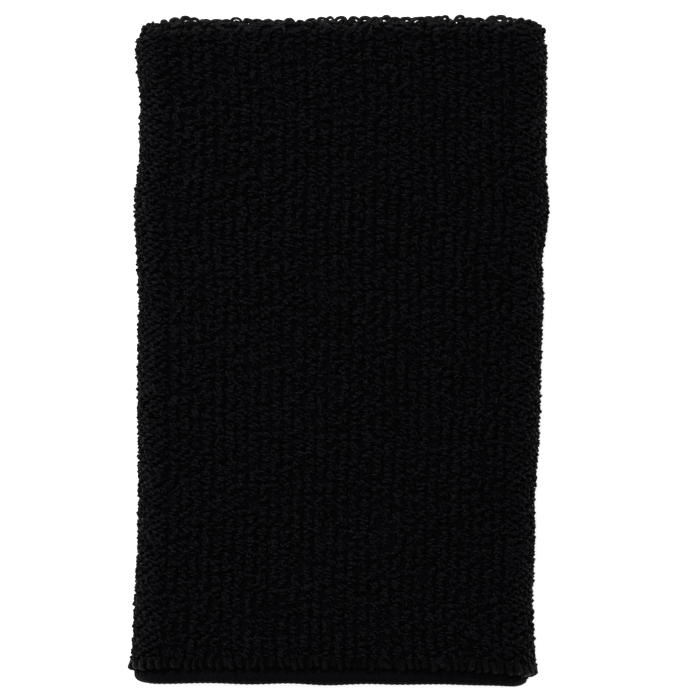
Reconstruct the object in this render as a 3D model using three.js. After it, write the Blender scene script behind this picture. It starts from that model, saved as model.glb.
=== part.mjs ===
// A long terry sweat wristband, lying on its back: a circular-knit tube turned in on itself, so that
// its wall is two plies of terry with their loops facing out and in. The plies run over a turned edge
// at one end. At the other end they are sewn together, and a plain-knit welt shows below the seam.
//
// Millimetres. X runs across the flat band, Y along the tube towards the turned edge, Z up.
// The origin is under the middle of the band, on the surface that it lies on.

import * as THREE from "three";
import { LoftGeometry } from "three/addons/geometries/LoftGeometry.js";

// The band as it lies.
const bandLength = 127;
const flatWidth = 79;
const insideFoldRadius = 1.4; // inside the wall, at the two side folds
const crownRise = 3.8; // how far the upper wall bows up between the folds

// The layers of the wall.
const pileHeight = 1.6; // terry loops, relaxed
const groundThickness = 0.7; // the knit that holds the loops
const elasticDiameter = 0.6; // covered elastic yarn laid in behind the ground
const layerClearance = 0.1;

// The elastic yarns, one for each ply, wound as two interleaved helices.
const elasticPitch = 11.2; // eight courses of the knit
const elasticEndMargin = 2.5; // from the ends of the plies

// The welt below the seam, a folded hem of plain knit with its own elastic.
const weltHeight = 2.8;
const weltThickness = 2.8;
const weltKnitThickness = 0.6;
const weltElasticClearance = 0.3; // between the elastic and the knit on either side

// The overlocked seam that joins the two plies above the welt.
const looperDiameter = 1;
const needleThreadDiameter = 0.5;
const looperGap = 0.95; // between the needle thread in the middle and a looper thread on either side

// How finely the curves are faceted.
const foldSegments = 3; // in each half of a fold
const crownSegments = 8;
const edgeSegments = 6;
const yarnSides = 6;
const threadSides = 8;

// Worked out from the sizes above.
const wallThickness = 2 * (pileHeight + groundThickness + 2 * layerClearance) + elasticDiameter;
const middleOfWall = wallThickness / 2;
const foldRadius = insideFoldRadius + wallThickness;
const foldCentreX = flatWidth / 2 - foldRadius;
// The crown's arc is tangent to both folds and crownRise higher than they are.
const crownMinusFold = (foldCentreX ** 2 + crownRise ** 2) / (2 * crownRise);
const crownRadius = crownMinusFold + foldRadius;
const crownHalfAngle = Math.asin(foldCentreX / crownMinusFold);
const crownCentreZ = foldRadius - crownMinusFold * Math.cos(crownHalfAngle);

const turnedEnd = bandLength / 2;
const sewnEnd = -bandLength / 2;
const turnCentre = turnedEnd - middleOfWall;
const pliesTop = turnCentre - layerClearance;
const seamCentre = sewnEnd + weltHeight + layerClearance + looperDiameter / 2;
const pliesBottom = seamCentre + looperDiameter / 2 + layerClearance;

/** The points of one arc, from the start angle to the end angle, both ends included. */
function arc(centreX, centreZ, radius, start, end, segments) {
  return Array.from({ length: segments + 1 }, (_, i) => {
    const angle = start + ((end - start) * i) / segments;
    return [centreX + radius * Math.cos(angle), centreZ + radius * Math.sin(angle)];
  });
}

/** The band's cross-section at a depth below its outer face: flat below, bowed above, round at the folds. */
function outline(inset) {
  const radius = foldRadius - inset;
  const crownStart = Math.PI / 2 - crownHalfAngle;
  const underFold = arc(foldCentreX, foldRadius, radius, -Math.PI / 2, 0, foldSegments);
  const overFold = arc(foldCentreX, foldRadius, radius, 0, crownStart, foldSegments);
  const crown = arc(0, crownCentreZ, crownRadius - inset, crownStart, Math.PI - crownStart, crownSegments);
  const fold = [...underFold, ...overFold.slice(1)];
  const otherFold = fold.map(([x, z]) => [-x, z]).reverse();
  return [...fold, ...crown.slice(1, -1), ...otherFold];
}

/** One cross-section as points in space, at a place along the tube. */
function ring(inset, y) {
  return outline(inset).map(([x, z]) => new THREE.Vector3(x, y, z));
}

/** A closed ring with the same profile all round: a list of [inset, y] corners, counter-clockwise. */
function ringSolid(profile) {
  return new LoftGeometry([...profile, profile[0]].map(([inset, y]) => ring(inset, y)));
}

/** A ply: a layer of the wall between two depths and two places along the tube. */
function ply(inset, thickness, bottom, top) {
  return ringSolid([
    [inset, bottom],
    [inset + thickness, bottom],
    [inset + thickness, top],
    [inset, top],
  ]);
}

/** A layer that turns over the end of the wall, a half round between two radii. */
function turnedLayer(outerRadius, innerRadius) {
  const half = (radius) => arc(middleOfWall, turnCentre, radius, 0, Math.PI, edgeSegments);
  return ringSolid([...half(outerRadius), ...half(innerRadius).reverse()]);
}

/** A thread that runs once round the band. */
function threadRing(inset, y, diameter) {
  return ringSolid(arc(inset, y, diameter / 2, 0, 2 * Math.PI, threadSides).slice(1));
}

/** A yarn that winds round the band as a helix, starting at the seam end. */
function helicalYarn(startY, turns) {
  const corners = outline(0).length;
  const sections = Array.from({ length: corners * turns + 1 }, (_, i) => {
    const middle = startY + (elasticPitch * i) / corners;
    return arc(middleOfWall, middle, elasticDiameter / 2, 2 * Math.PI, 0, yarnSides)
      .slice(1)
      .map(([inset, y]) => ring(inset, y)[i % corners]);
  });
  return new LoftGeometry(sections, { capStart: true, capEnd: true });
}

/** The welt: a hem of plain knit, folded at the bottom and open upwards. */
function foldedWelt() {
  const half = weltThickness / 2;
  const hemCentre = sewnEnd + half;
  const top = sewnEnd + weltHeight;
  const inside = half - weltKnitThickness;
  const outerHem = arc(middleOfWall, hemCentre, half, Math.PI, 2 * Math.PI, edgeSegments);
  const innerHem = arc(middleOfWall, hemCentre, inside, 2 * Math.PI, Math.PI, edgeSegments);
  return ringSolid([
    [middleOfWall - half, top],
    ...outerHem,
    [middleOfWall + half, top],
    [middleOfWall + inside, top],
    ...innerHem,
    [middleOfWall - inside, top],
  ]);
}

const pileCloth = new THREE.MeshStandardMaterial({ color: 0x0d0d10, roughness: 0.95, metalness: 0 });
const groundCloth = new THREE.MeshStandardMaterial({ color: 0x09090b, roughness: 0.9, metalness: 0 });
const weltCloth = new THREE.MeshStandardMaterial({ color: 0x111114, roughness: 0.85, metalness: 0 });
const elasticYarn = new THREE.MeshStandardMaterial({ color: 0x151515, roughness: 0.7, metalness: 0 });
const sewingThread = new THREE.MeshStandardMaterial({ color: 0x141417, roughness: 0.6, metalness: 0 });

const wristband = new THREE.Group();

/** Adds one named piece to the wristband. */
function add(name, geometry, material) {
  const mesh = new THREE.Mesh(geometry, material);
  mesh.name = name;
  wristband.add(mesh);
}

// The outer ply, from the outside in, and the inner ply behind it.
const outerGroundInset = pileHeight + layerClearance;
const innerGroundInset = middleOfWall + elasticDiameter / 2 + layerClearance;
const innerPileInset = innerGroundInset + groundThickness + layerClearance;
add("outer_pile", ply(0, pileHeight, pliesBottom, pliesTop), pileCloth);
add("outer_ground", ply(outerGroundInset, groundThickness, pliesBottom, pliesTop), groundCloth);
add("inner_ground", ply(innerGroundInset, groundThickness, pliesBottom, pliesTop), groundCloth);
add("inner_pile", ply(innerPileInset, pileHeight, pliesBottom, pliesTop), pileCloth);

// The elastic yarns lie between the plies, each half a pitch from the other.
const elasticStart = pliesBottom + elasticEndMargin;
const elasticRoom = pliesTop - elasticEndMargin - elasticStart - elasticPitch / 2;
const elasticTurns = Math.floor(elasticRoom / elasticPitch);
add("outer_elastic", helicalYarn(elasticStart, elasticTurns), elasticYarn);
add("inner_elastic", helicalYarn(elasticStart + elasticPitch / 2, elasticTurns), elasticYarn);

// The turned edge, where the outer ply becomes the inner one.
const turnedGroundRadius = middleOfWall - outerGroundInset;
add("turned_edge_pile", turnedLayer(middleOfWall, middleOfWall - pileHeight), pileCloth);
add("turned_edge_ground", turnedLayer(turnedGroundRadius, turnedGroundRadius - groundThickness), groundCloth);

// The sewn end: the seam's three threads, and the welt with its elastic.
const looperOffset = (needleThreadDiameter + looperDiameter) / 2 + looperGap;
const weltElasticDiameter = weltThickness - 2 * (weltKnitThickness + weltElasticClearance);
const weltElasticY = sewnEnd + weltKnitThickness + layerClearance + weltElasticDiameter / 2;
add("seam_outer_looper", threadRing(middleOfWall - looperOffset, seamCentre, looperDiameter), sewingThread);
add("seam_needle_thread", threadRing(middleOfWall, seamCentre, needleThreadDiameter), sewingThread);
add("seam_inner_looper", threadRing(middleOfWall + looperOffset, seamCentre, looperDiameter), sewingThread);
add("hem_welt", foldedWelt(), weltCloth);
add("welt_elastic", threadRing(middleOfWall, weltElasticY, weltElasticDiameter), elasticYarn);

export default wristband;
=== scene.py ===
"""A long terry sweat wristband, lying flat.

The band is knitted as one tube and turned in on itself, so its wall is two plies of terry. Every loop of
the pile is laid on the wall by wale and course. The turned edge has bigger, looser loops and a row of
small arches, and the sewn end has overlock stitches and a plain-knit welt.
"""

import logging
import math
from dataclasses import dataclass, replace
from enum import Enum

import bmesh
import bpy
import numpy as np
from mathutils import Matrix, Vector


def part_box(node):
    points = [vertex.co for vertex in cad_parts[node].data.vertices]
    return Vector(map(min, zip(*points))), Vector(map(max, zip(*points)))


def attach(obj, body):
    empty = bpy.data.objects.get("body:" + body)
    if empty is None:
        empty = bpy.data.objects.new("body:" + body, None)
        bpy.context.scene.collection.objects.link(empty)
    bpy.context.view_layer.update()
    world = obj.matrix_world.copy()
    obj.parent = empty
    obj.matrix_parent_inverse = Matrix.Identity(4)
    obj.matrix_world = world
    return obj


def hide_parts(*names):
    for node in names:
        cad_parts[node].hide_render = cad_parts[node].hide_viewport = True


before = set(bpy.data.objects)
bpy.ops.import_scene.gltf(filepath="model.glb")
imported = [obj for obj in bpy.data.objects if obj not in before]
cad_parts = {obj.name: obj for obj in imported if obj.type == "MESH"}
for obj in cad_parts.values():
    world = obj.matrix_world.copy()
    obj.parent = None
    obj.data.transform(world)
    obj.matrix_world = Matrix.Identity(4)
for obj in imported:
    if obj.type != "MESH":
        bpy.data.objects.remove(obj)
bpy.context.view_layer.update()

Array = np.ndarray
Piece = bpy.types.Object
Mesh = bpy.types.Mesh
Material = bpy.types.Material
Socket = bpy.types.NodeSocket
Random = np.random.Generator

MM = 0.001
COURSE = 1.397 * MM
ROOT = "root"
FLOOR = "studio_floor"
log = logging.getLogger("wristband")


class Slot(Enum):
    """The record's material slots."""

    TERRY = "terry_pile"
    GROUND = "ground_knit"
    WELT = "welt_knit"
    THREAD = "seam_thread"
    ELASTIC = "elastic_yarn"


class Ply(Enum):
    """The two plies of the wall."""

    OUTER = "outer"
    INNER = "inner"


# Form


def read_table(at: Array, places: tuple, values: tuple) -> Array:
    """The values at some places, between the rows of a table in millimetres."""
    return np.interp(at, np.array(places) * MM, np.array(values) * MM)


@dataclass
class BandForm:
    """The band's cross-section, the path of its wall, and how the cloth has settled.

    Across is the distance round the band, from the middle of the underside. Along is the distance up the
    outer ply, over the turned edge and down the inner ply. Both are measured at the middle of the ground
    knit, and height is the distance from it, out of the cloth.
    """

    half_width: float
    thickness: float
    plies_bottom: float
    turn_centre: float
    sewn_end: float
    crown_rise: float = 3.8 * MM
    middle_of_wall: float = 2.8 * MM
    ground_depth: float = 2.05 * MM
    wales: int = 74
    # Stations along the tube, with the half width and the sideways shift of the settled cloth there.
    stations: tuple = (-63.5, -61.2, -60.6, -59.6, -58.2, -55, -47, -38, -28, -19, -9, 0, 10, 17, 21, 28, 36,
                       47.5, 57, 59.4, 60.5, 62, 62.8, 63.4, 64)
    half_widths: tuple = (38.2, 38.7, 39.0, 39.3, 39.0, 38.5, 38.1, 38.1, 38.0, 38.3, 38.6, 38.7, 38.8, 38.8,
                          39.3, 39.8, 39.0, 38.9, 39.4, 39.2, 38.8, 39.0, 39.3, 39.6, 39.9)
    shifts: tuple = (-1.8, -1.85, -1.5, -1.3, -1.2, -1.25, -1.2, -0.8, -0.65, -0.35, -0.2, -0.1, 0.2, -0.15,
                     0.1, 0.25, 0.45, 0.6, 0.2, 0.05, 0.5, 0.5, 0.5, 0.5, 0.5)
    # How far the turned edge drops, the welt rises and the seam hangs over it, at places across the band.
    corners: tuple = (-38, -36, -35, -32, -29, -20, 0, 20, 30, 33, 36, 38)
    edge_drops: tuple = (1.0, 1.0, 0.9, 0.3, -0.1, 0.0, 0.0, -0.1, -0.2, 0.2, 0.3, 1.1)
    welt_rises: tuple = (0.6, 0.4, 0.3, 0.3, 0.3, 0.3, 0.25, 0.1, -0.05, -0.1, 0.3, 0.9)
    seam_sags: tuple = (0.7, 0.6, 0.5, 0.3, 0.1, 0.0, 0.0, 0.15, 0.9, 1.3, 1.8, 2.0)
    crown_draw: float = 0.45  # how much shorter the bowed upper wall lies, at either end
    sag_places: tuple = (-63.5, -60.5, -57, -48)  # along the tube
    sag_shares: tuple = (0.1, 1, 1, 0)
    # Where the turned edge and the welt start to settle, and over what length.
    edge_from: float = 55 * MM
    edge_over: float = 6 * MM
    welt_from: float = -58.5 * MM
    welt_over: float = 2.5 * MM
    swell: float = 0.35 * MM  # the upper wall's gentle rise and fall
    swell_length: float = 19 * MM
    swell_width: float = 13 * MM
    edge_dip: float = 0.5 * MM
    waves: int = 16

    def __post_init__(self) -> None:
        """Works out the arcs of the cross-section."""
        self.fold_radius = (self.thickness - self.crown_rise) / 2
        self.fold_x = self.half_width - self.fold_radius
        crown_less_fold = (self.fold_x ** 2 + self.crown_rise ** 2) / (2 * self.crown_rise)
        crown_radius = crown_less_fold + self.fold_radius
        crown_half_angle = math.asin(self.fold_x / crown_less_fold)
        crown_z = self.fold_radius - crown_less_fold * math.cos(crown_half_angle)
        crown_start = math.pi / 2 - crown_half_angle
        # The underside's right half, the right fold, the crown, the left fold, the underside's left half:
        # radius, start angle and the centre's x and z.
        down, radius, right = -math.pi / 2, self.fold_radius, self.fold_x
        arcs = ((radius, down, 0, radius), (radius, down, right, radius),
                (crown_radius, crown_start, 0, crown_z), (radius, math.pi - crown_start, -right, radius),
                (radius, down, -right, radius))
        self.radii, self.start_angles, self.centres_x, self.centres_z = np.array(arcs).T
        self.is_flat = np.array([True, False, False, False, True])
        fold = (self.fold_radius - self.ground_depth) * (math.pi / 2 + crown_start)
        crown = (crown_radius - self.ground_depth) * 2 * crown_half_angle
        self.starts = np.cumsum([0, self.fold_x, fold, crown, fold])
        self.perimeter = float(self.starts[-1] + self.fold_x)
        self.wale = self.perimeter / self.wales
        self.turn_radius = self.middle_of_wall - self.ground_depth
        self.ply_length = self.turn_centre - self.plies_bottom
        self.turn_length = math.pi * self.turn_radius

    @property
    def wall_length(self) -> float:
        """The length of the ground knit, from the seam over the turned edge and back to the seam."""
        return 2 * self.ply_length + self.turn_length

    def parts(self, across: Array) -> tuple[Array, Array]:
        """Which arc of the cross-section each place lies on, and how far along that arc it is."""
        place = np.mod(across, self.perimeter)
        part = np.clip(np.searchsorted(self.starts, place, side="right") - 1, 0, 4)
        return part, place - self.starts[part]

    def outward(self, across: Array) -> Array:
        """The angle of the outward direction in the cross-section, in radians above +X."""
        part, past = self.parts(across)
        turn = past / (self.radii[part] - self.ground_depth)
        return self.start_angles[part] + np.where(self.is_flat[part], 0, turn)

    def section(self, across: Array, inset: Array) -> tuple[Array, Array]:
        """Points of the cross-section.

        Args:
            across: distances round the band.
            inset: depths below the outer face.

        Returns:
            The x and the z of each point.
        """
        part, past = self.parts(across)
        angle = self.outward(across)
        reach = self.radii[part] - inset
        x = self.centres_x[part] + np.where(self.is_flat[part], past, 0) + reach * np.cos(angle)
        return x, self.centres_z[part] + reach * np.sin(angle)

    def spread(self, across: Array, inset: Array) -> Array:
        """How much further apart the wales stand at a depth than they do at the ground knit."""
        part, _ = self.parts(across)
        curved = (self.radii[part] - inset) / (self.radii[part] - self.ground_depth)
        return np.where(self.is_flat[part], 1, curved)

    def turn_angle(self, along: Array) -> Array:
        """How far the wall has turned over its edge, from 0 on the outer ply to pi on the inner ply."""
        return np.clip((along - self.ply_length) / self.turn_radius, 0, math.pi)

    def wall(self, along: Array, height: Array) -> tuple[Array, Array]:
        """Points of the wall's path.

        Args:
            along: distances along the wall.
            height: distances out of the cloth.

        Returns:
            The depth below the outer face and the y of each point.
        """
        angle = self.turn_angle(along)
        radius = self.turn_radius + height
        up = np.minimum(along, self.ply_length) - np.maximum(along - self.ply_length - self.turn_length, 0)
        return self.middle_of_wall - radius * np.cos(angle), self.plies_bottom + up + radius * np.sin(angle)

    def along_at(self, y: float, ply: Ply) -> float:
        """The distance along the wall of a place on one of the plies."""
        up = y - self.plies_bottom
        return up if ply is Ply.OUTER else self.wall_length - up

    def cloth(self, across: Array, along: Array, height: Array) -> Array:
        """Points of the unsettled cloth, as rows of x, y and z."""
        inset, y = self.wall(along, height)
        x, z = self.section(across, inset)
        return np.stack([x, y, z], axis=-1)

    def thread(self, across: Array, inset: Array, y: Array) -> Array:
        """Points inside the wall, as rows of x, y and z."""
        x, z = self.section(across, inset)
        return np.stack([x, np.broadcast_to(y, x.shape), z], axis=-1)

    def directions(self, across: Array, along: Array) -> Array:
        """The cloth's own directions: across, along and out of it, as a 3 x 3 matrix for each place."""
        angle, turn = self.outward(across), self.turn_angle(along)
        zero = np.zeros_like(angle)
        side = np.stack([np.sin(angle), zero, -np.cos(angle)], axis=-1)
        out = np.stack([np.cos(angle) * np.cos(turn), np.sin(turn), np.sin(angle) * np.cos(turn)], axis=-1)
        return np.stack([side, np.cross(out, side), out], axis=1)

    def settle(self, points: Array) -> Array:
        """Moves points as the cloth has settled.

        Args:
            points: rows of x, y and z.

        Returns:
            The moved rows.
        """
        x, y, z = points.T
        half = read_table(y, self.stations, self.half_widths)
        shift = read_table(y, self.stations, self.shifts)
        settled_x = shift + x * half / self.half_width
        top = np.clip((y - self.edge_from) / self.edge_over, 0, 1) ** 2
        bottom = np.clip((self.welt_from - y) / self.welt_over, 0, 1)
        up = np.clip(z / self.thickness, 0, 1)
        sag = read_table(settled_x, self.corners, self.seam_sags)
        sag = sag * np.interp(y / MM, self.sag_places, self.sag_shares)
        draw = self.crown_draw * MM * up
        drop = read_table(settled_x, self.corners, self.edge_drops) + draw
        rise = read_table(settled_x, self.corners, self.welt_rises) + draw
        lift = self.swell * np.sin(y / self.swell_length + 0.6) * np.sin(x / self.swell_width + 1.1)
        settled_z = z + (lift - self.edge_dip * top) * up
        settled_y = y - drop * top + rise * bottom - sag
        return np.stack([settled_x, settled_y, np.maximum(settled_z, 0)], axis=-1)

    def folded(self, spread: Array) -> Array:
        """How far each place lies on a fold, from 0 to 1, by how much the wales spread there."""
        return np.clip((spread - 1) * 4, 0, 1)

    def patches(self, seed: int, across: Array, along: Array, size: float) -> Array:
        """A smooth, patchy variation over the cloth, mostly between -1 and 1.

        Args:
            seed: picks the pattern.
            across: distances round the band.
            along: distances along the wall.
            size: the smallest patches, in metres.

        Returns:
            The variation at each place.
        """
        rng = np.random.default_rng(seed)
        most = int(self.perimeter / size)
        total = np.zeros_like(across)
        for _ in range(self.waves):
            turns = rng.integers(-most, most + 1) / self.perimeter
            waves = rng.uniform(-1, 1) / size
            total += np.sin(2 * math.pi * (turns * across + waves * along + rng.uniform()))
        return total / math.sqrt(self.waves)


# Modelling help


def deselect_all() -> None:
    """Leaves nothing selected, in object mode."""
    if bpy.context.object and bpy.context.object.mode != "OBJECT":
        bpy.ops.object.mode_set(mode="OBJECT")
    bpy.ops.object.select_all(action="DESELECT")


def make_active(piece: Piece) -> None:
    """Selects one object alone."""
    deselect_all()
    piece.select_set(True)
    bpy.context.view_layer.objects.active = piece


def edit_all() -> None:
    """Enters edit mode with the whole mesh selected."""
    bpy.ops.object.mode_set(mode="EDIT")
    bpy.ops.mesh.select_all(action="SELECT")


def leave_outward() -> None:
    """Turns the selected faces outwards and leaves edit mode."""
    bpy.ops.mesh.normals_make_consistent(inside=False)
    bpy.ops.object.mode_set(mode="OBJECT")


def mesh_points(mesh: Mesh) -> Array:
    """A mesh's vertices as rows of x, y and z."""
    flat = np.empty(len(mesh.vertices) * 3)
    mesh.vertices.foreach_get("co", flat)
    return flat.reshape(-1, 3)


def add_map(mesh: Mesh, name: str, corners: Array) -> None:
    """Adds a UV map, or fills the one of that name."""
    layer = mesh.uv_layers.get(name) or mesh.uv_layers.new(name=name)
    layer.data.foreach_set("uv", corners.astype(np.float32).ravel())


def read_map(mesh: Mesh) -> Array:
    """A mesh's first UV map, as a row for each face corner."""
    flat = np.empty(len(mesh.loops) * 2)
    mesh.uv_layers[0].data.foreach_get("uv", flat)
    return flat.reshape(-1, 2)


def add_tint(mesh: Mesh, values: Array) -> None:
    """Adds the shade of each vertex."""
    mesh.attributes.new("tint", "FLOAT", "POINT").data.foreach_set("value", values.astype(np.float32))


@dataclass(frozen=True)
class YarnShape:
    """A short length of yarn, modelled once and copied many times."""

    points: Array
    faces: tuple
    sides: int
    strands: int = 1

    @classmethod
    def from_piece(cls, piece: Piece, sides: int, strands: int = 1) -> "YarnShape":
        """Takes the shape of a modelled piece and removes the piece.

        Args:
            piece: closed tubes whose vertices run ring by ring, each ring of all the strands in turn.
            sides: the vertices in one ring of a strand.
            strands: the tubes that lie side by side.

        Returns:
            The shape.
        """
        mesh = piece.data
        faces = tuple(tuple(face.vertices) for face in mesh.polygons)
        shape = cls(mesh_points(mesh), faces, sides, strands)
        bpy.data.objects.remove(piece)
        bpy.data.meshes.remove(mesh)
        return shape

    def rings(self) -> Array:
        """The vertices by ring, the strands of each ring together."""
        return self.points.reshape(-1, self.strands * self.sides, 3)

    def distances(self) -> Array:
        """Each ring's distance along the yarn."""
        steps = np.linalg.norm(np.diff(self.rings().mean(axis=1), axis=0), axis=1)
        return np.r_[0, np.cumsum(steps)]

    def twisted(self, turns: float, start: float) -> "YarnShape":
        """The same yarn with its strands twisted round each other.

        Args:
            turns: whole turns from one end to the other.
            start: the turn at the first end, in radians.

        Returns:
            The twisted yarn.
        """
        rings, distances = self.rings(), self.distances()
        middles = rings.mean(axis=1)
        ways = np.gradient(middles, axis=0)
        ways /= np.linalg.norm(ways, axis=1, keepdims=True)
        angles = (start + 2 * math.pi * turns * distances / distances[-1])[:, None, None]
        arms, ways = rings - middles[:, None], np.broadcast_to(ways[:, None], rings.shape)
        along = (arms * ways).sum(axis=-1, keepdims=True) * ways * (1 - np.cos(angles))
        arms = arms * np.cos(angles) + np.cross(ways, arms) * np.sin(angles) + along
        return replace(self, points=(middles[:, None] + arms).reshape(-1, 3))

    def yarn_map(self) -> Array:
        """Each face corner's distance along the yarn, in metres, and its place round it, from 0 to 1."""
        distances = self.distances()
        corners = []
        for face in self.faces:
            places = [vertex % self.sides for vertex in face]
            wraps = not self.is_end(face) and max(places) - min(places) > 1
            for vertex, place in zip(face, places):
                turn = 1.0 if wraps and place == 0 else place / self.sides
                corners.append((distances[vertex // (self.sides * self.strands)], turn))
        return np.array(corners)

    def is_end(self, face: tuple) -> bool:
        """Whether a face closes an end of a strand."""
        return len({vertex // self.sides for vertex in face}) == 1

    def own_cell(self) -> Array:
        """Each face corner's place in a unit cell: the strands' sides below and their ends above."""
        corners = self.yarn_map()
        cell = np.stack([corners[:, 0] / corners[:, 0].max(), corners[:, 1] * 0.8], axis=1)
        start, ends = 0, 0
        for face in self.faces:
            row = slice(start, start + len(face))
            start += len(face)
            if self.is_end(face):
                turn = np.arange(len(face)) * 2 * math.pi / len(face)
                ends += 1
                cell[row] = np.stack([0.2 * ends + 0.05 * np.cos(turn), 0.93 + 0.05 * np.sin(turn)], axis=1)
            else:
                strand = face[0] // self.sides % self.strands
                cell[row, 1] = (cell[row, 1] + 0.84 * strand) / self.strands
        return 0.04 + 0.92 * cell


def tilts(rng: Random, *spreads: Array) -> list:
    """Random turns in radians, for each spread in degrees of all the copies."""
    return [np.radians(spread * rng.normal(size=len(spread))) for spread in spreads]


def uneven(rng: Random, count: int, share: Array | float, low: float = -2.0, high: float = 2.0) -> Array:
    """Random differences in size, cut off at so many spreads either way."""
    return share * rng.normal(size=count).clip(low, high)


def lay_copies(name: str, shapes: list[YarnShape], rng: Random, across: Array, along: Array,
               frames: Array, tints: Array, form: BandForm) -> Piece:
    """Lays copies of a yarn shape on the band as one piece.

    Args:
        name: the piece's name.
        shapes: versions of the shape, all with the same faces, picked at random.
        rng: the source of randomness.
        across: each copy's distance round the band.
        along: each copy's distance along the wall.
        frames: each copy's size and turn in the cloth's own directions.
        tints: each copy's shade.
        form: the band.

    Returns:
        The new object.
    """
    count, each = len(across), len(shapes[0].points)
    chosen = rng.integers(0, len(shapes), count)
    points = np.stack([shape.points for shape in shapes])[chosen]
    places = form.cloth(across, along, np.zeros(count))
    laid = places[:, None, :] + np.einsum("nmk,nkj->nmj", points, frames @ form.directions(across, along))
    settled = form.settle(laid.reshape(-1, 3))
    sizes = np.array([len(face) for face in shapes[0].faces])
    corners = np.concatenate([np.array(face) for face in shapes[0].faces])
    vertices = (corners[None, :] + each * np.arange(count)[:, None]).ravel()
    mesh = bpy.data.meshes.new(name)
    mesh.vertices.add(count * each)
    mesh.vertices.foreach_set("co", settled.astype(np.float32).ravel())
    mesh.loops.add(len(vertices))
    mesh.loops.foreach_set("vertex_index", vertices.astype(np.int32))
    mesh.polygons.add(count * len(sizes))
    starts = np.r_[0, np.cumsum(np.tile(sizes, count))[:-1]]
    mesh.polygons.foreach_set("loop_start", starts.astype(np.int32))
    mesh.polygons.foreach_set("use_smooth", np.ones(count * len(sizes), bool))
    mesh.update(calc_edges=True)
    add_tint(mesh, np.repeat(tints, each))
    yarn = np.tile(shapes[0].yarn_map(), (count, 1))
    yarn[:, 1] += np.repeat(np.arange(count) * 0.37 % 1, len(corners))
    columns = math.ceil(math.sqrt(count))
    cells = np.stack([np.arange(count) % columns, np.arange(count) // columns], axis=1)
    own = (np.tile(shapes[0].own_cell(), (count, 1)) + np.repeat(cells, len(corners), axis=0)) / columns
    add_map(mesh, "OFBake", own)
    add_map(mesh, "yarn", yarn)
    piece = bpy.data.objects.new(name, mesh)
    bpy.context.scene.collection.objects.link(piece)
    return piece


def bend_yarn(route: Array, diameter: float, sides: int, closed: bool = False, smooth: int = 0) -> Piece:
    """Makes a closed tube of yarn along a route.

    Args:
        route: points of the yarn's middle, as rows of x, y and z.
        diameter: the yarn's.
        sides: an even number of faces round it.
        closed: whether the yarn joins its own start.
        smooth: steps between points of a smooth curve through the route, or 0 for the route itself.

    Returns:
        The tube.
    """
    deselect_all()
    bpy.ops.curve.primitive_nurbs_path_add(location=(0, 0, 0))
    piece = bpy.context.object
    curve = piece.data
    curve.splines.clear()
    spline = curve.splines.new("NURBS" if smooth else "POLY")
    spline.points.add(len(route) - 1)
    spline.points.foreach_set("co", np.c_[route, np.ones(len(route))].ravel())
    spline.use_cyclic_u = closed
    if smooth:
        spline.order_u = 4
        spline.use_endpoint_u = True
        spline.resolution_u = smooth
    curve.dimensions = "3D"
    curve.bevel_depth = diameter / 2
    curve.bevel_resolution = sides // 2 - 2
    make_active(piece)
    bpy.ops.object.convert(target="MESH")
    piece = bpy.context.object
    edit_all()
    if not closed:
        bpy.ops.mesh.fill_holes(sides=sides)
        bpy.ops.mesh.select_all(action="SELECT")
    leave_outward()
    return piece


def turned(width: Array, depth: Array, height: Array, yaw: Array, lean: Array, roll: Array) -> Array:
    """The size and turn of each copy in the cloth's own directions.

    Args:
        width: scale across.
        depth: scale along.
        height: scale out of the cloth.
        yaw: turn about the way out of the cloth, in radians.
        lean: turn towards the way along the cloth, in radians.
        roll: turn towards the way across the cloth, in radians.

    Returns:
        A 3 x 3 matrix for each copy.
    """
    frames = np.zeros((len(yaw), 3, 3))
    frames[:, 0, 0], frames[:, 1, 1], frames[:, 2, 2] = width, depth, height
    for first, second, angle in ((0, 1, yaw), (2, 1, lean), (2, 0, roll)):
        turn = np.tile(np.eye(3), (len(yaw), 1, 1))
        turn[:, first, first] = turn[:, second, second] = np.cos(angle)
        turn[:, first, second], turn[:, second, first] = np.sin(angle), -np.sin(angle)
        frames = frames @ turn
    return frames


# Finishes


class Bench:
    """A material being put together from nodes."""

    def __init__(self, name: str) -> None:
        """Starts a material with its shader."""
        self.material = bpy.data.materials.new(name)
        self.material.use_nodes = True
        self.tree = self.material.node_tree
        self.shader = self.tree.nodes["Principled BSDF"]

    def add(self, kind: str, inputs: dict | None = None, **settings: object) -> bpy.types.Node:
        """Adds a node.

        Args:
            kind: the node's type, without ShaderNode.
            inputs: values or outputs of other nodes, by the name or number of the input.
            settings: the node's own settings.

        Returns:
            The node.
        """
        node = self.tree.nodes.new("ShaderNode" + kind)
        for name, value in settings.items():
            setattr(node, name, value)
        self.put(node, inputs or {})
        return node

    def put(self, node: bpy.types.Node, inputs: dict) -> None:
        """Sets or links inputs of a node, by their name or number."""
        for key, value in inputs.items():
            if isinstance(value, Socket):
                self.tree.links.new(value, node.inputs[key])
            else:
                node.inputs[key].default_value = value

    def math(self, operation: str, *numbers: object) -> Socket:
        """The result of a sum on up to three numbers."""
        return self.add("Math", dict(enumerate(numbers)), operation=operation).outputs[0]

    def noise(self, scale: float, detail: float = 2.0, roughness: float = 0.5) -> Socket:
        """Noise over the piece, from 0 to 1."""
        place = self.add("TexCoord").outputs["Object"]
        inputs = {"Vector": place, "Scale": scale, "Detail": detail, "Roughness": roughness}
        return self.add("TexNoise", inputs).outputs["Fac"]

    def blend(self, share: object, first: tuple, second: tuple) -> Socket:
        """A colour between two, by a share from 0 to 1."""
        inputs = {0: share, 6: (*first, 1), 7: (*second, 1)}
        return self.add("Mix", inputs, data_type="RGBA", clamp_factor=True).outputs[2]

    def range(self, value: object, low: float, high: float) -> Socket:
        """A number from 0 to 1 spread between two others."""
        return self.add("MapRange", {"Value": value, "To Min": low, "To Max": high}).outputs["Result"]


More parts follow.
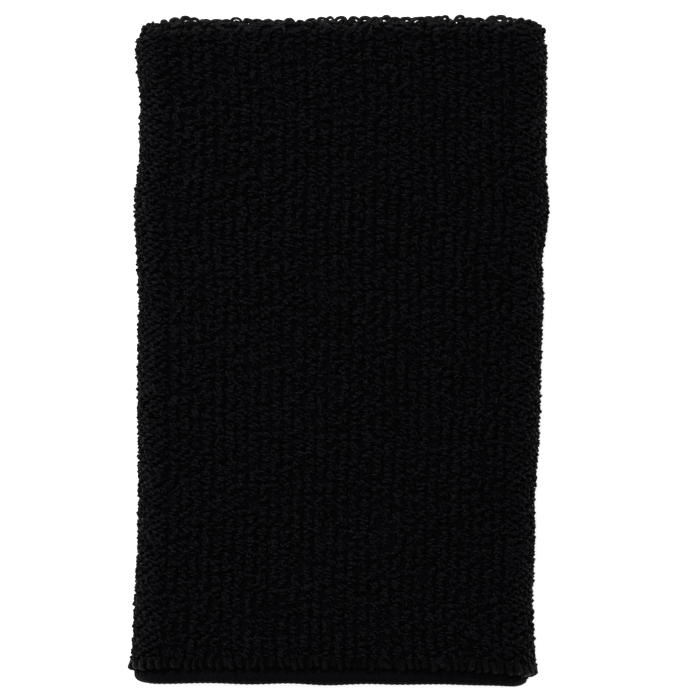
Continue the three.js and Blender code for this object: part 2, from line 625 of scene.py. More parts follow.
@dataclass(frozen=True)
class ClothFinish:
    """What the finishes of yarn and cloth share: a shade between two colours, a soft gloss and a relief."""

    name: str
    dark: tuple = (0.0008, 0.0008, 0.0015)
    light: tuple = (0.0027, 0.0027, 0.0048)
    rough: tuple = (0.29, 0.7)
    specular: float = 0.07
    sheen: float = 0.04
    sheen_tint: tuple = (0.05, 0.05, 0.06)
    sheen_rough: float = 0.5
    relief: float = 0.16 * MM
    fibre: float = 4200.0
    wear: float = 95.0

    def unevenness(self, bench: Bench) -> tuple[Socket, Socket]:
        """Noise for the loose fibres, and a broad change of shade from wear."""
        return bench.noise(self.fibre, 3.0, 0.6), bench.range(bench.noise(self.wear, 3.0, 0.55), -0.25, 0.25)

    def dress(self, bench: Bench, shade: Socket, fibres: Socket, relief: Socket) -> Material:
        """Ends a material.

        Args:
            bench: the material so far.
            shade: its place between the dark and the light colour.
            fibres: the noise of its fibres, which sets how rough it is.
            relief: its height.

        Returns:
            The material.
        """
        bump = bench.add("Bump", {"Strength": 1.0, "Distance": self.relief, "Height": relief})
        inputs = {"Base Color": bench.blend(shade, self.dark, self.light),
                  "Roughness": bench.range(fibres, *self.rough), "Normal": bump.outputs["Normal"],
                  "Specular IOR Level": self.specular, "Sheen Weight": self.sheen,
                  "Sheen Roughness": self.sheen_rough, "Sheen Tint": (*self.sheen_tint, 1)}
        bench.put(bench.shader, inputs)
        return bench.material


@dataclass(frozen=True)
class YarnFinish(ClothFinish):
    """Dyed yarn, twisted from strands, with loose fibres, an uneven shade, and painted highlights and shade
    along its strands.
    """

    twist: float = 1.3 * MM
    strands: int = 2

    def material(self) -> Material:
        """Makes the material."""
        bench = Bench(self.name)
        tint = bench.add("Attribute", attribute_name="tint").outputs["Fac"]
        yarn = bench.add("UVMap", uv_map="yarn").outputs["UV"]
        steps = (2 * math.pi / self.twist, 2 * math.pi * self.strands, 0)
        phase = bench.add("VectorMath", {0: yarn, 1: steps}, operation="DOT_PRODUCT").outputs["Value"]
        strands = bench.math("ABSOLUTE", bench.math("SINE", phase))
        fibres, wear = self.unevenness(bench)
        shade = bench.math("ADD", bench.math("MULTIPLY_ADD", fibres, 0.7, -0.35), tint)
        # painted highlight and shade: the strands' twist wave lightens the crowns of the strands and darkens
        # the grooves between them
        shade = bench.math("ADD", bench.math("ADD", shade, wear), bench.range(strands, -0.42, 0.22))
        relief = bench.math("ADD", strands, bench.math("MULTIPLY", fibres, 0.8))
        return self.dress(bench, shade, fibres, relief)


@dataclass(frozen=True, kw_only=True)
class KnitFinish(ClothFinish):
    """Plain knit, with a stitch for each wale and course of its own, painted lighter on its ridges and darker
    between them.
    """

    wale: float
    course: float
    dark: tuple = (0.0004, 0.0004, 0.0007)
    light: tuple = (0.0025, 0.0025, 0.0038)
    rough: tuple = (0.65, 0.9)
    specular: float = 0.04
    sheen: float = 0.03
    relief: float = 0.12 * MM
    fibre: float = 3600.0
    wear: float = 120.0
    slant: float = 0.9

    def material(self) -> Material:
        """Makes the material."""
        bench = Bench(self.name)
        cloth = bench.add("UVMap", uv_map="cloth").outputs["UV"]
        apart = bench.add("SeparateXYZ", {0: cloth})
        wales = bench.math("DIVIDE", apart.outputs["X"], self.wale)
        courses = bench.math("DIVIDE", apart.outputs["Y"], self.course)
        legs = bench.math("PINGPONG", wales, 0.5)
        ridge = bench.math("ABSOLUTE", bench.math("SINE", bench.math("MULTIPLY", wales, 2 * math.pi)))
        slanted = bench.math("ADD", courses, bench.math("MULTIPLY", legs, self.slant))
        stitch = bench.math("SINE", bench.math("MULTIPLY", slanted, 2 * math.pi))
        knit = bench.math("MULTIPLY", ridge, bench.math("MULTIPLY_ADD", stitch, 0.5, 0.5))
        fibres, wear = self.unevenness(bench)
        # painted shade: the stitch wave that raises the relief also lightens the stitches' ridges and darkens
        # the hollows between them
        shade = bench.math("ADD", bench.range(knit, 0.2, 0.75), bench.range(fibres, -0.3, 0.3))
        relief = bench.math("ADD", knit, bench.math("MULTIPLY", fibres, 0.45))
        return self.dress(bench, bench.math("ADD", shade, wear), fibres, relief)


def hand_over(piece: Piece, slot: Slot, finish: Material, *replaces: str) -> Piece:
    """Dresses a finished piece, puts it on its body and logs it.

    Args:
        piece: the piece.
        slot: the record's slot that its finish belongs to.
        finish: its material.
        replaces: the CAD nodes that it stands for.

    Returns:
        The piece.
    """
    piece.data.materials.clear()
    piece.data.materials.append(finish)
    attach(piece, ROOT)
    if replaces:
        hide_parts(*replaces)
    log.info("%s: %d faces, %s", piece.name, len(piece.data.polygons), slot.value)
    return piece


# Sub-assemblies


@dataclass
class TerryLoop:
    """One loop of the pile: a leg, a tight arch and another leg, their ends sunk in the ground knit."""

    strand: float = 0.56 * MM
    strands: int = 2
    offset: float = 0.28 * MM
    twist: float = 1.7
    width: float = 2.3 * MM
    height: float = 2.4 * MM
    sunk: float = 0.25 * MM
    foot_pinch: float = 0.7
    bulb: float = 0.15
    steps: int = 4
    sides: int = 4

    @property
    def yarn(self) -> float:
        """The thickness of all the strands together."""
        return self.strand + 2 * self.offset * (self.strands > 1)

    def model(self) -> YarnShape:
        """Models the loop: rounds of yarn are drawn up, spun over and drawn down again."""
        arch = (self.width - self.yarn) / 2
        leg = self.height - self.yarn / 2 - arch
        rounds = []
        for side in (-1, 1)[:self.strands]:
            deselect_all()
            place = -arch + side * self.offset * (self.strands > 1)
            bpy.ops.mesh.primitive_circle_add(vertices=self.sides, radius=self.strand / 2, fill_type="NGON",
                                              location=(place, 0, 0))
            rounds.append(bpy.context.object)
        make_active(rounds[0])
        for other in rounds[1:]:
            other.select_set(True)
            bpy.ops.object.join()
        piece = bpy.context.object
        edit_all()
        bpy.ops.mesh.extrude_region_move(TRANSFORM_OT_translate={"value": (0, 0, leg)})
        bpy.ops.mesh.spin(steps=self.steps, angle=-math.pi, center=(0, 0, leg), axis=(0, 1, 0))
        bpy.ops.mesh.extrude_region_move(TRANSFORM_OT_translate={"value": (0, 0, -leg)})
        self.pinch_feet(piece)
        bpy.ops.mesh.select_all(action="SELECT")
        bpy.ops.transform.translate(value=(0, 0, -self.sunk))
        leave_outward()
        bpy.ops.object.transform_apply(location=True, rotation=True, scale=True)
        return YarnShape.from_piece(piece, self.sides, self.strands)

    def pinch_feet(self, piece: Piece) -> None:
        """Draws the two feet together where the ground knit grips them."""
        bpy.ops.mesh.select_all(action="DESELECT")
        edit = bmesh.from_edit_mesh(piece.data)
        for vertex in edit.verts:
            vertex.select_set(vertex.co.z < self.yarn / 4)
        edit.select_flush(True)
        bmesh.update_edit_mesh(piece.data)
        bpy.ops.transform.resize(value=(self.foot_pinch, 1, 1), center_override=(0, 0, 0))

    def versions(self) -> list[YarnShape]:
        """The loop as it comes: upright, turned each way, flattened, and fallen to one side."""
        upright = self.model()
        shapes = []
        for number, (skew, flat, fall) in enumerate([(0, 0, 0), (0.26, 0, 0), (-0.26, 0, 0.1), (0.1, 1, 0),
                                                     (-0.1, 1, 0.05), (0, 0.3, 0.2), (0, 0.3, -0.2),
                                                     (0.18, -0.4, -0.1)]):
            shape = upright
            if self.strands > 1:
                shape = upright.twisted(self.twist * (0.8 + 0.1 * (number % 5)), 0.8 * number)
            x, y, z = shape.points.T
            rise = np.clip(z / self.height, 0, 1)
            x = x * (1 + (self.bulb + 0.10 * flat) * rise)
            y = y * (1 + 0.12 * flat * rise) + skew * x * rise
            x, z = x + fall * MM * rise ** 2, z - 0.2 * MM * flat * rise ** 2
            shapes.append(replace(shape, points=np.stack([x, y, z], axis=-1)))
        return shapes


@dataclass
class TerryPile:
    """The pile of one ply, laid wale by wale and course by course."""

    form: BandForm
    ply: Ply
    loop: TerryLoop
    first_y: float = -57.9 * MM
    course: float = COURSE
    courses: int = 85
    fill: float = 0.85  # the share of loops with another one half a course on
    fanned_from: float = 1.2  # the spread from which every loop of a fold has another one beside it
    beside: float = 0.27  # how far off its wale such a loop may stand, in wales
    depths: tuple = (0.5 * MM, 4.6 * MM)  # of the loops' middles in the wall, on the outer and the inner ply
    widths: tuple = (0.5, 1.12)  # the least and the most that the spread widens a loop
    lengths: tuple = (0.7, 1.08)
    unevenness: tuple = (0.07, 0.08, 0.06)  # spread of the width, the length and the height
    matting: float = 0.04  # how much lower matted patches stand
    jitter: tuple = (0.12, 0.09)  # across and along, in mm
    sideways: float = 0.08 * MM  # how far patches of loops have moved together
    upwards: float = 0.10 * MM
    lean: float = 18  # degrees
    tilt: tuple = (16, 12, 10)  # spread of the yaw, the lean and the roll, in degrees
    sway: tuple = (5, 6, 5)  # how far patches of loops have turned together
    strays: float = 0.07
    stray_yaw: tuple = (40, 80)
    fold_calm: float = 0.65  # how much calmer the loops stand on the outside of a fold
    tint: float = 0.45
    tint_spread: float = 0.2
    seed: int = 11

    def lay(self, name: str, wales: range) -> Piece:
        """Lays the loops of some wales as one piece.

        Args:
            name: the piece's name.
            wales: the wales, counted from the middle of the underside.

        Returns:
            The piece.
        """
        form = self.form
        rng = np.random.default_rng(self.seed + wales.start)
        wale, course = (grid.ravel() for grid in np.meshgrid(np.array(wales, float), np.arange(self.courses)))
        sign = 1 if self.ply is Ply.OUTER else -1
        if sign > 0:  # more loops fill the gaps in the rows, most of all where a fold fans out the wales
            nearest = np.array([[0.5], [1.0], [1.5]])  # this wale, the gap beside it and the next wale
            fanned = (form.spread((wale + nearest) * form.wale, 0) > self.fanned_from).any(axis=0)
            more = fanned | (rng.random(len(wale)) < self.fill)
            beside = np.where(fanned, 0.5, rng.uniform(-self.beside, self.beside, len(wale)))
            wale = np.r_[wale, (wale + beside)[more]]
            course = np.r_[course, course[more] + 0.5]
        count = len(wale)
        across = (wale + 0.5) * form.wale
        along = form.along_at(self.first_y, self.ply) + sign * course * self.course
        drift = form.patches(5, across, along, 20 * MM)
        matted = form.patches(9, across, along, 7 * MM)
        swirl = form.patches(21, across, along, 9 * MM)
        spread = form.spread(across, self.depths[self.ply is Ply.INNER])
        calm = 1 - self.fold_calm * form.folded(spread)
        across = across + rng.normal(0, self.jitter[0], count) * MM + self.sideways * swirl
        along = along + rng.normal(0, self.jitter[1], count) * MM + self.upwards * drift
        stray = rng.random(count) < self.strays * calm
        yaw = np.radians((self.tilt[0] * rng.normal(size=count) + self.sway[0] * swirl) * calm)
        fallen = np.radians(rng.choice([-1, 1], count) * rng.uniform(*self.stray_yaw, count))
        yaw = np.where(stray, fallen, yaw)
        leant = self.tilt[1] * rng.normal(size=count) + self.sway[1] * matted
        lean = np.radians(sign * (self.lean + leant * calm))
        roll = np.radians((self.tilt[2] * rng.normal(size=count) + self.sway[2] * drift) * calm)
        wide, deep, high = self.unevenness
        width = np.clip(spread, *self.widths) * (1 + uneven(rng, count, wide))
        depth = np.clip(spread, *self.lengths) * (1 + uneven(rng, count, deep))
        height = 1 + (uneven(rng, count, high) - self.matting * matted) * calm
        frames = turned(width, depth, height, yaw, lean, roll)
        tints = self.tint + self.tint_spread * rng.normal(size=count) + 0.12 * matted
        return lay_copies(name, self.loop.versions(), rng, across, along, frames, tints, form)


@dataclass
class TurnedEdge:
    """The turned edge: rows of big loose loops over the crest, and a lace of small arches along it."""

    form: BandForm
    loop: TerryLoop
    turns: tuple = (-4, 34, 70, 106, 144, 184)
    in_a_row: int = 90
    side_height: float = 1.7 * MM
    crest_height: float = 1.05 * MM
    fold_height: float = 2.0 * MM
    unevenness: float = 0.12
    spacing: float = 0.2  # spread of the places across, in mm
    loop_tilt: tuple = (26, 16, 14)  # spread of the yaw, the lean and the roll, in degrees
    arch_tilt: tuple = (16, 16, 13)
    # painted light: the edge's loops and arches sit high in their lighter colour range, for the light that
    # brightens the crest
    loop_tint_painted_light: float = 0.62
    arch_tint_painted_light: float = 0.6
    tint_spread: float = 0.2
    arches: int = 80
    arch_yarn: float = 0.7 * MM
    arch_width: float = 1.95 * MM
    arch_reach: float = 1.95 * MM
    # How high the lace stands, as a share of its reach, at places across the band.
    lace_places: tuple = (-38, -34, -31, -26, -6, 2, 33, 38)
    lace_heights: tuple = (0.8, 0.95, 1.0, 0.84, 0.84, 1.0, 1.0, 0.85)
    seed: int = 41

    def lay_loops(self, name: str) -> Piece:
        """Lays the rows of loops over the crest as one piece."""
        form = self.form
        rng = np.random.default_rng(self.seed)
        rows, loops = np.arange(len(self.turns)), np.arange(self.in_a_row)
        row, loop = (grid.ravel() for grid in np.meshgrid(rows, loops))
        count = len(loop)
        across = (loop + 0.5 * (row % 2)) * form.perimeter / self.in_a_row
        across = across + rng.normal(0, self.spacing, count) * MM
        turn = np.radians(np.array(self.turns)[row] + rng.normal(0, 6, count))
        along = form.ply_length + turn * form.turn_radius
        reach = self.crest_height + (self.side_height - self.crest_height) * np.abs(np.cos(turn)) ** 1.5
        folded = form.folded(form.spread(across, 0))
        reach = reach + (self.fold_height - reach) * folded
        height = reach / (self.loop.height - self.loop.sunk) * (1 + uneven(rng, count, self.unevenness))
        width = np.where(turn < math.pi / 2, 1.0, np.clip(form.spread(across, 4.5 * MM), 0.5, 1.1))
        width = width * (1 + uneven(rng, count, self.unevenness))
        frames = turned(width, width, height, *tilts(rng, *np.outer(self.loop_tilt, np.ones(count))))
        tints = self.loop_tint_painted_light + self.tint_spread * rng.normal(size=count)
        return lay_copies(name, self.loop.versions(), rng, across, along, frames, tints, form)

    def arch(self) -> YarnShape:
        """Models one small arch of the lace."""
        half, reach = self.arch_width / 2, self.arch_reach - self.arch_yarn / 2
        shape = ((-0.75, 0), (-1.05, 0.45), (-0.95, 1.02), (0, 1.14), (0.95, 1.02), (1.05, 0.45), (0.75, 0))
        route = np.array([(out * half, 0, up * reach) for out, up in shape])
        return YarnShape.from_piece(bend_yarn(route, self.arch_yarn, 6, smooth=2), 6)

    def lay_arches(self, name: str) -> Piece:
        """Lays the lace of arches along the crest as one piece."""
        form = self.form
        rng = np.random.default_rng(self.seed + 1)
        count = self.arches
        across = np.arange(count) * form.perimeter / count + rng.normal(0, self.spacing, count) * MM
        turn = np.radians(90 + rng.normal(0, 8, count))
        along = form.ply_length + turn * form.turn_radius
        x, _ = form.section(across, form.middle_of_wall)
        height = np.interp(x / MM, self.lace_places, self.lace_heights)
        height = height * (1 + uneven(rng, count, self.unevenness, -2.5, 0.6))
        width = 1 + uneven(rng, count, 0.16)
        frames = turned(width, np.ones(count), height, *tilts(rng, *np.outer(self.arch_tilt, np.ones(count))))
        tints = self.arch_tint_painted_light + self.tint_spread * rng.normal(size=count)
        return lay_copies(name, [self.arch()], rng, across, along, frames, tints, form)


def flat_grid(name: str, columns: int, rows: int) -> tuple[Piece, Array]:
    """Adds a flat grid of cloth, and gives each vertex's place on it, from 0 to 1 both ways."""
    deselect_all()
    bpy.ops.mesh.primitive_grid_add(x_subdivisions=columns, y_subdivisions=rows, size=1)
    piece = bpy.context.object
    piece.name = piece.data.name = name
    return piece, mesh_points(piece.data)[:, :2] + 0.5


@dataclass
class GroundCloth:
    """The ground knit of both plies, one sheet that turns over the edge of the band."""

    form: BandForm
    thickness: float = 0.6 * MM
    course: float = COURSE
    ridge: float = 0.06 * MM
    hem: float = 1.2 * MM  # how far each ply runs on past the seam, into the welt
    pinch: float = 0.35 * MM

    def stations(self) -> Array:
        """The rows of the sheet along the wall, closer together where it turns."""
        form = self.form
        rows = round(form.ply_length / self.course)
        ply = np.linspace(0, form.ply_length, rows + 1)
        turn = form.ply_length + np.linspace(0, form.turn_length, 9)[1:-1]
        inner = ply + form.ply_length + form.turn_length
        return np.r_[-self.hem, ply, turn, inner, form.wall_length + self.hem]

    def model(self, name: str) -> Piece:
        """Models the sheet: a grid is laid on the wall, joined up the back and given its thickness."""
        form = self.form
        stations = self.stations()
        columns = 2 * form.wales
        piece, places = flat_grid(name, columns, len(stations) - 1)
        across = places[:, 0] * form.perimeter
        along = np.interp(places[:, 1] * (len(stations) - 1), np.arange(len(stations)), stations)
        past = np.maximum(-along, along - form.wall_length) / self.hem
        height = self.ridge * np.cos(2 * math.pi * across / form.wale) - self.pinch * np.clip(past, 0, 1)
        wrapped = form.settle(form.cloth(across, along, height))
        return shell_piece(piece, wrapped, np.stack([across, along], axis=1), self.thickness)


def shell_piece(piece: Piece, points: Array, cloth: Array, thickness: float) -> Piece:
    """Turns a flat grid into a closed shell of cloth round the band.

    Args:
        piece: the grid.
        points: where its vertices go, as rows of x, y and z.
        cloth: each vertex's place on the flat cloth, in metres.
        thickness: the cloth's.

    Returns:
        The piece.
    """
    mesh = piece.data
    corners = np.empty(len(mesh.loops), np.int32)
    mesh.loops.foreach_get("vertex_index", corners)
    mesh.uv_layers[0].name = "OFBake"
    add_map(mesh, "cloth", cloth[corners])
    mesh.vertices.foreach_set("co", points.astype(np.float32).ravel())
    mesh.update()
    make_active(piece)
    edit_all()
    bpy.ops.mesh.remove_doubles(threshold=0.002 * MM)
    leave_outward()
    one_side = len(mesh.polygons)
    wall = piece.modifiers.new("wall", "SOLIDIFY")
    wall.thickness = thickness
    wall.offset = 0
    wall.use_even_offset = True
    bpy.ops.object.modifier_apply(modifier="wall")
    own = read_map(mesh) * (0.49, 0.96) + (0, 0.02)
    own[4 * one_side:8 * one_side, 0] += 0.5
    rim = own[8 * one_side:].reshape(-1, 4, 2)
    low = rim[:, :, 1].mean(axis=1) < 0.5
    rim[:, :, 1] = np.where(low[:, None], 0.004, 0.986) + np.array([0, 0, 0.01, 0.01])
    add_map(mesh, "OFBake", own)
    make_active(piece)
    bpy.ops.object.shade_smooth()
    return piece


@dataclass
class OverlockSeam:
    """The overlocked seam: thick upright stitches on both faces and the needle thread between the plies."""

    form: BandForm
    centre_y: float
    yarn: float = 1.1 * MM
    rise: float = 1.0 * MM
    reach: float = 0.98 * MM
    lean: float = 0.25 * MM
    stitches: int = 111
    bulge: float = 0.05  # how much thicker the seam is where it runs round a fold
    needle_thread: float = 0.5 * MM
    spacing: float = 0.16  # spread of the places across and along, in mm
    stagger: tuple = (-0.1 * MM, 0.25 * MM)  # how far every other stitch lies up the cloth
    unevenness: tuple = (0.16, 0.10, 0.15)  # spread of the width, the length and the height
    tilt: tuple = (11, 5, 7)  # spread of the yaw, the lean and the roll, in degrees
    fold_calm: float = 0.7
    tint: float = 0.5
    tint_spread: float = 0.16
    seed: int = 61

    def stitch(self) -> YarnShape:
        """Models one stitch, which comes out of the pile and goes over the cut edge of the ply."""
        lean, reach, rise = self.lean, self.reach, self.rise
        route = np.array([(-lean, reach, -0.3 * MM), (-lean, 1.2 * reach, 0.7 * rise),
                          (-0.7 * lean, 0.85 * reach, 1.3 * rise), (0, 0, 1.2 * rise),
                          (0.7 * lean, -0.85 * reach, 1.28 * rise), (lean, -1.25 * reach, 0.7 * rise),
                          (lean, -1.05 * reach, -0.5 * MM)])
        return YarnShape.from_piece(bend_yarn(route, self.yarn, 8, smooth=3), 8)

    def lay_stitches(self, name: str, ply: Ply) -> Piece:
        """Lays the stitches of one face as one piece.

        Args:
            name: the piece's name.
            ply: the ply whose face they lie on.

        Returns:
            The piece.
        """
        form = self.form
        sign = 1 if ply is Ply.OUTER else -1
        rng = np.random.default_rng(self.seed + sign)
        count = self.stitches
        stitch = np.arange(count)
        across = (stitch + 0.5) * form.perimeter / count + rng.normal(0, self.spacing, count) * MM
        folded = form.folded(form.spread(across, 0))
        longer = np.array(self.stagger)[stitch % 2]
        along = form.along_at(self.centre_y, ply) + sign * longer + rng.normal(0, self.spacing, count) * MM
        spread = np.clip(form.spread(across, (0.9 if sign > 0 else 4.7) * MM), 0.55, 1.35)
        calm = 1 - self.fold_calm * folded
        wide, deep, high = self.unevenness
        width = spread * (1 + 0.25 * folded + uneven(rng, count, wide * calm))
        depth = 1 + uneven(rng, count, deep * calm)
        height = 1 + uneven(rng, count, high * calm) + self.bulge * folded
        yaw, lean, roll = self.tilt
        turns = tilts(rng, sign * yaw * calm, lean * calm, roll * calm)
        frames = turned(width, sign * depth, height, *turns)
        tints = self.tint + self.tint_spread * rng.normal(size=count)
        return lay_copies(name, [self.stitch()], rng, across, along, frames, tints, form)

    def run_needle_thread(self, name: str, y: float) -> Piece:
        """Runs the needle thread round the band between the plies."""
        form = self.form
        across = np.arange(form.wales * 6) * form.wale / 6
        weave = 0.12 * MM * np.cos(2 * math.pi * across / form.wale)
        route = form.thread(across, form.middle_of_wall + weave, y)
        return yarn_run(name, form, route, self.needle_thread, 8, closed=True)


def yarn_run(name: str, form: BandForm, route: Array, diameter: float, sides: int, closed: bool) -> Piece:
    """Runs one long yarn along a route on the band.

    Args:
        name: the piece's name.
        form: the band.
        route: points of the yarn's middle before the cloth settles.
        diameter: the yarn's.
        sides: an even number of faces round it.
        closed: whether it joins its own start.

    Returns:
        The piece.
    """
    route = form.settle(route)
    piece = bend_yarn(route, diameter, sides, closed=closed)
    piece.name = piece.data.name = name
    mesh = piece.data
    length = np.linalg.norm(np.diff(route, axis=0), axis=1).sum()
    add_map(mesh, "yarn", read_map(mesh) * (length, 1))
    mesh.uv_layers.remove(mesh.uv_layers[0])
    add_tint(mesh, np.full(len(mesh.vertices), 0.5))
    make_active(piece)
    bpy.ops.object.shade_smooth()
    return piece


@dataclass
class HemWelt:
    """The welt below the seam, a hem of plain knit with faint ribs and a row of stitch pits along its top."""

    form: BandForm
    top: float
    half_depth: float = 1.4 * MM
    knit: float = 0.6 * MM
    rib: float = 0.05 * MM
    pit: float = 0.7 * MM
    elastic: float = 1.0 * MM

    def model(self, name: str) -> Piece:
        """Models the welt: a grid is folded round the bottom edge and given its thickness."""
        form = self.form
        radius = self.half_depth - self.knit / 2
        leg = self.top - (form.sewn_end + self.half_depth)
        path = np.r_[np.linspace(-leg, 0, 6), radius * np.linspace(0, math.pi, 13)[1:-1],
                     math.pi * radius + np.linspace(0, leg, 6)]
        columns, rows = 6 * form.wales, len(path) - 1
        piece, places = flat_grid(name, columns, rows)
        across = places[:, 0] * form.perimeter
        down = np.interp(places[:, 1] * rows, np.arange(rows + 1), path)
        turn = np.clip(down / radius, 0, math.pi)
        past = np.maximum(down - math.pi * radius, 0)
        wales = across / form.wale
        sag = 0.5 + 0.12 * form.patches(37, across, down * 0, 5 * MM)
        pits = np.exp(-((wales % 1 - sag) / 0.26) ** 2) * np.exp(-((down + 0.8 * leg) / (0.5 * MM)) ** 2)
        rolled = form.patches(31, across, down, 12 * MM)
        reach = radius + self.rib * np.cos(4 * math.pi * wales) - self.pit * pits + 0.10 * MM * rolled
        x, z = form.section(across, form.middle_of_wall - reach * np.cos(turn))
        y = form.sewn_end + self.half_depth - reach * np.sin(turn) + np.maximum(-down, 0) + past
        points = form.settle(np.stack([x, y, z], axis=-1))
        return shell_piece(piece, points, np.stack([across, down], axis=1), self.knit)

    def run_elastic(self, name: str, y: float) -> Piece:
        """Runs the elastic round the inside of the welt."""
        form = self.form
        across = np.arange(form.wales * 4) * form.wale / 4
        inset = np.full(len(across), form.middle_of_wall)
        return yarn_run(name, form, form.thread(across, inset, y), self.elastic, 8, closed=True)


@dataclass
class ElasticYarn:
    """A covered elastic yarn, wound up the wall behind the ground of one ply."""

    form: BandForm
    node: str
    diameter: float = 0.6 * MM
    pitch: float = 11.2 * MM

    def run(self, name: str) -> Piece:
        """Runs the yarn as a helix between the ends of its node's box."""
        form = self.form
        low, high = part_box(self.node)
        start, end = low.y + self.diameter / 2, high.y - self.diameter / 2
        turns = (end - start) / self.pitch
        along = np.linspace(0, turns, round(turns * 80) + 1)
        crimp = 0.04 * MM * np.sin(along * form.wales * math.pi)
        inset = np.full(len(along), form.middle_of_wall) + crimp
        route = form.thread(along * form.perimeter, inset, start + along * self.pitch)
        return yarn_run(name, form, route, self.diameter, 6, closed=False)


@dataclass
class Studio:
    """The pale floor, the soft lights and the camera straight above the band."""

    target: tuple = (1.9 * MM, 0.1 * MM, 8 * MM)
    distance: float = 1.1058
    lens: float = 300.0
    floor_size: float = 6.0
    rim_steps: int = 6
    soft_box: float = 0.7
    soft_place: tuple = (0, 0, 1.1)
    key_size: float = 0.11
    key_place: tuple = (-0.31, 0.43, 0.36)
    horizon: float = 0.45  # how high the floor's rim curves up behind the band
    soft_power: float = 8.0
    key_power: float = 3.3
    floor_glow: float = 0.5
    rim_glow: float = 1.1  # the floor's rim is out of the lights' reach and stays as white as its middle
    sky: float = 0.35

    def lay_floor(self) -> None:
        """Lays a broad pale floor that curves up at its rim, lit a little from below like a light table."""
        deselect_all()
        bpy.ops.mesh.primitive_circle_add(vertices=96, radius=self.floor_size / 2, fill_type="NGON",
                                          location=(0, 0, 0))
        floor = bpy.context.object
        floor.name = FLOOR
        edit_all()
        bpy.ops.mesh.select_mode(type="EDGE")
        bpy.ops.mesh.region_to_loop()
        out, up = self.floor_size / 2, 0
        for angle in np.linspace(0, math.pi / 2, self.rim_steps + 1)[1:]:
            wider = self.floor_size / 2 + self.horizon * math.sin(angle)
            higher = self.horizon * (1 - math.cos(angle))
            bpy.ops.mesh.extrude_region_move(TRANSFORM_OT_translate={"value": (0, 0, higher - up)})
            bpy.ops.transform.resize(value=(wider / out, wider / out, 1), center_override=(0, 0, 0))
            out, up = wider, higher
        bpy.ops.mesh.select_mode(type="VERT")
        bpy.ops.object.mode_set(mode="OBJECT")
        bench = Bench("pale_floor")
        speckle = bench.noise(35.0, 2.0)
        place = bench.add("TexCoord").outputs["Object"]
        away = bench.add("VectorMath", {0: place}, operation="LENGTH").outputs["Value"]
        glow = bench.add("MapRange", {"Value": away, "From Min": 1.0, "From Max": self.floor_size / 2,
                                      "To Min": self.floor_glow, "To Max": self.rim_glow}).outputs["Result"]
        inputs = {"Base Color": bench.blend(speckle, (0.86,) * 3, (0.9,) * 3), "Roughness": 0.9,
                  "Specular IOR Level": 0.1, "Emission Color": (1, 1, 1, 1), "Emission Strength": glow}
        bench.put(bench.shader, inputs)
        floor.data.materials.append(bench.material)

    def hang_light(self, name: str, place: tuple, size: float, power: float) -> Piece:
        """Hangs a square soft light that faces straight down."""
        deselect_all()
        bpy.ops.object.light_add(type="AREA", location=place)
        light = bpy.context.object
        light.name = name
        light.data.shape = "SQUARE"
        light.data.size = size
        light.data.energy = power
        return light

    def light(self) -> None:
        """Lights the scene from above, with a key from the upper left and a white sky."""
        self.hang_light("overhead", self.soft_place, self.soft_box, self.soft_power)
        key = self.hang_light("key", self.key_place, self.key_size, self.key_power)
        key.rotation_euler = (-key.location).to_track_quat("-Z", "Y").to_euler()
        world = bpy.data.worlds.new("studio")
        world.use_nodes = True
        background = world.node_tree.nodes["Background"]
        background.inputs["Color"].default_value = (1, 1, 1, 1)
        background.inputs["Strength"].default_value = self.sky
        bpy.context.scene.world = world
        bpy.context.scene.view_settings.view_transform = "Standard"

    def set_camera(self) -> None:
        """Sets the camera straight above, with the turned edge at the top of its view."""
        deselect_all()
        x, y, z = self.target
        bpy.ops.object.camera_add(location=(x, y, z + self.distance), rotation=(0, 0, 0))
        camera = bpy.context.object
        camera.data.lens = self.lens
        camera.data.clip_start = 0.01
        bpy.context.scene.camera = camera


def build_form() -> BandForm:
    """Takes the band's sizes from the frame."""
    pile_low, pile_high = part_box("outer_pile")
    edge_low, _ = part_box("turned_edge_pile")
    welt_low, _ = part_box("hem_welt")
    return BandForm(half_width=pile_high.x, thickness=pile_high.z, plies_bottom=pile_low.y,
                    turn_centre=edge_low.y, sewn_end=welt_low.y)


def middle_y(node: str) -> float:
    """The middle of a CAD node along the tube."""
    low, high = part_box(node)
    return (low.y + high.y) / 2


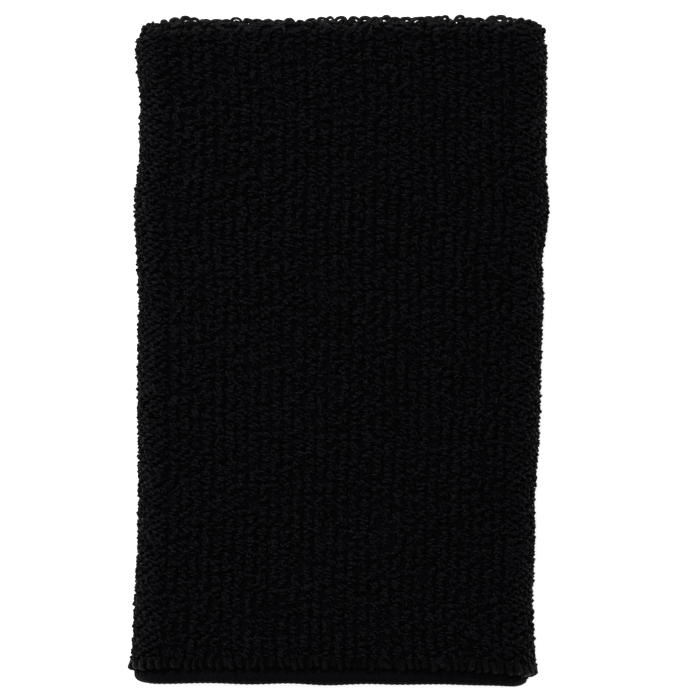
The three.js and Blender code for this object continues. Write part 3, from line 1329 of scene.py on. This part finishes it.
def main() -> None:
    """Builds the wristband's sub-assemblies in order, then the studio."""
    logging.basicConfig(level=logging.INFO, format="%(message)s")
    form = build_form()
    studio = Studio()
    studio.set_camera()
    studio.lay_floor()

    terry = YarnFinish("terry_pile_yarn").material()
    # painted light: the turned edge gets a lighter copy of the terry yarn's colours, for the key light and
    # sheen that brighten its crest
    edge_terry_painted_light = YarnFinish("turned_edge_yarn_painted_light", dark=(0.0014, 0.0014, 0.0019), light=(0.008, 0.008, 0.0098),
                            specular=0.10).material()
    ground_knit = KnitFinish("ground_knit", wale=form.wale, course=COURSE).material()
    welt_knit = KnitFinish("welt_knit", wale=form.wale / 2, course=0.7 * MM, dark=(0.0004, 0.0004, 0.0008),
                           light=(0.0031, 0.0031, 0.0044), relief=0.26 * MM).material()
    seam_thread = YarnFinish("seam_thread", dark=(0.0003, 0.0003, 0.0006), light=(0.0014, 0.0014, 0.0023),
                             twist=2.0 * MM, strands=3, relief=0.3 * MM, specular=0.06).material()
    elastic = YarnFinish("covered_elastic", dark=(0.002, 0.002, 0.0024), light=(0.008, 0.008, 0.0095),
                         rough=(0.4, 0.65), twist=0.5 * MM, specular=0.15).material()

    cloth = GroundCloth(form)
    ground = hand_over(cloth.model("ground_cloth"), Slot.GROUND, ground_knit, "outer_ground", "inner_ground",
                       "turned_edge_ground")

    outer = TerryPile(form, Ply.OUTER, TerryLoop())
    parts = ("under_right", "under_far_right", "right_fold", "over_far_right", "over_right", "over_left",
             "over_far_left", "left_fold", "under_far_left", "under_left")
    cuts = (0, 8, 15, 22, 30, 37, 45, 52, 59, 67, form.wales)
    going_with = [hand_over(outer.lay("outer_pile_" + part, range(*wales)), Slot.TERRY, terry, "outer_pile")
                  for part, *wales in zip(parts, cuts, cuts[1:])]

    inner_loop = TerryLoop(strand=0.9 * MM, strands=1, width=2.0 * MM, steps=3)
    inner = TerryPile(form, Ply.INNER, inner_loop, seed=23)
    half = form.wales // 2
    for part, wales in (("right", range(half)), ("left", range(half, form.wales))):
        going_with.append(hand_over(inner.lay("inner_pile_" + part, wales), Slot.TERRY, terry, "inner_pile"))

    edge = TurnedEdge(form, TerryLoop(strand=0.4 * MM, offset=0.17 * MM, width=2.2 * MM, steps=6))
    seam = OverlockSeam(form, centre_y=-58.95 * MM)
    welt = HemWelt(form, top=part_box("hem_welt")[1].y)
    going_with += [
        hand_over(edge.lay_loops("turned_edge_loops"), Slot.TERRY, edge_terry_painted_light, "turned_edge_pile"),
        hand_over(edge.lay_arches("turned_edge_arches"), Slot.TERRY, edge_terry_painted_light),
        hand_over(seam.lay_stitches("seam_outer_stitches", Ply.OUTER), Slot.THREAD, seam_thread,
                  "seam_outer_looper"),
        hand_over(seam.lay_stitches("seam_inner_stitches", Ply.INNER), Slot.THREAD, seam_thread,
                  "seam_inner_looper"),
        hand_over(seam.run_needle_thread("seam_needle_run", middle_y("seam_needle_thread")), Slot.THREAD,
                  seam_thread, "seam_needle_thread"),
        hand_over(welt.model("welt"), Slot.WELT, welt_knit, "hem_welt"),
        hand_over(welt.run_elastic("welt_elastic_band", middle_y("welt_elastic")), Slot.ELASTIC, elastic,
                  "welt_elastic"),
        *(hand_over(ElasticYarn(form, node).run(node + "_yarn"), Slot.ELASTIC, elastic, node)
          for node in ("outer_elastic", "inner_elastic"))]

    studio.light()


if __name__ == "__main__":
    main()
